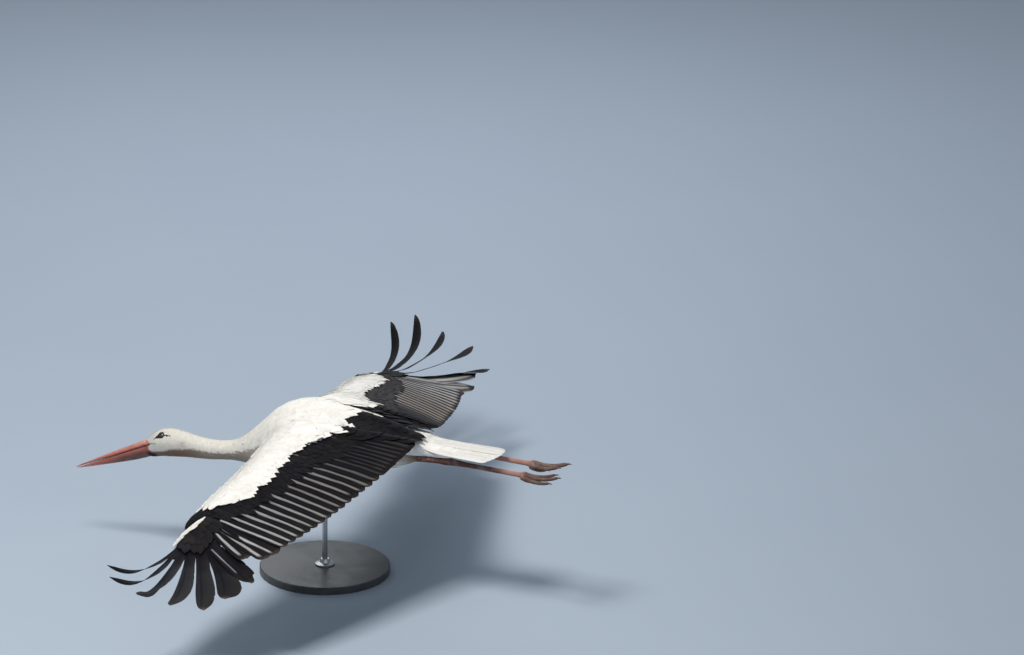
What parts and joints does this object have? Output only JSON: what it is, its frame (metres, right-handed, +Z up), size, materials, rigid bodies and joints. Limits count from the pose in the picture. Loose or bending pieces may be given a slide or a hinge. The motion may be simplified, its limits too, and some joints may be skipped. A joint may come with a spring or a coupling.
{
  "type": "white stork",
  "caption": "A life-size white stork gliding with spread, drooping wings, neck stretched forward and legs trailing behind, held by a rod on a round display base.",
  "frame": {"origin": "centre of the underside of the stand's base, below the bird's body", "axes": "+Z up; the bird faces -Y and its left wing points along +X"},
  "size_m": [1.776, 1.2244, 0.4209],
  "materials": {
    "white_feathers": "soft white feathers",
    "black_feathers": "black flight feathers with a slight sheen",
    "bill_horn": "satin coral-red horn",
    "leg_scales": "dull red scaled skin with pale dirt",
    "claw_horn": "dark brown horn",
    "eye_gloss": "wet dark eye",
    "stand_paint": "satin warm grey paint",
    "stand_steel": "brushed"
  },
  "bodies": {
    "root": {"head": "white_feathers", "neck_upper": "white_feathers", "neck_lower": "white_feathers", "trunk": "white_feathers", "tail": "white_feathers", "thigh_left": "white_feathers", "thigh_right": "white_feathers", "wing_arm_left": "white_feathers", "wing_arm_right": "white_feathers", "wing_hand_left": "black_feathers", "wing_hand_right": "black_feathers", "tertials_left": "black_feathers", "tertials_right": "black_feathers", "secondaries_left": "black_feathers", "secondaries_right": "black_feathers", "primaries_inner_left": "black_feathers", "primaries_inner_right": "black_feathers", "primary_04_left": "black_feathers", "primary_04_right": "black_feathers", "primary_05_left": "black_feathers", "primary_05_right": "black_feathers", "primary_06_left": "black_feathers", "primary_06_right": "black_feathers", "primary_07_left": "black_feathers", "primary_07_right": "black_feathers", "primary_08_left": "black_feathers", "primary_08_right": "black_feathers", "primary_09_left": "black_feathers", "primary_09_right": "black_feathers", "primary_10_left": "black_feathers", "primary_10_right": "black_feathers", "bill_upper": "bill_horn", "bill_lower": "bill_horn", "eye_left": "eye_gloss", "eye_right": "eye_gloss", "shank_left": "leg_scales", "shank_right": "leg_scales", "tarsus_left": "leg_scales", "tarsus_right": "leg_scales", "foot_left": "leg_scales", "foot_right": "leg_scales", "claw_inner_left": "claw_horn", "claw_inner_right": "claw_horn", "claw_middle_left": "claw_horn", "claw_middle_right": "claw_horn", "claw_outer_left": "claw_horn", "claw_outer_right": "claw_horn", "claw_hind_left": "claw_horn", "claw_hind_right": "claw_horn", "stand_base": "stand_paint", "stand_rod": "stand_steel", "stand_collar": "stand_steel"}
  },
  "joints": []
}
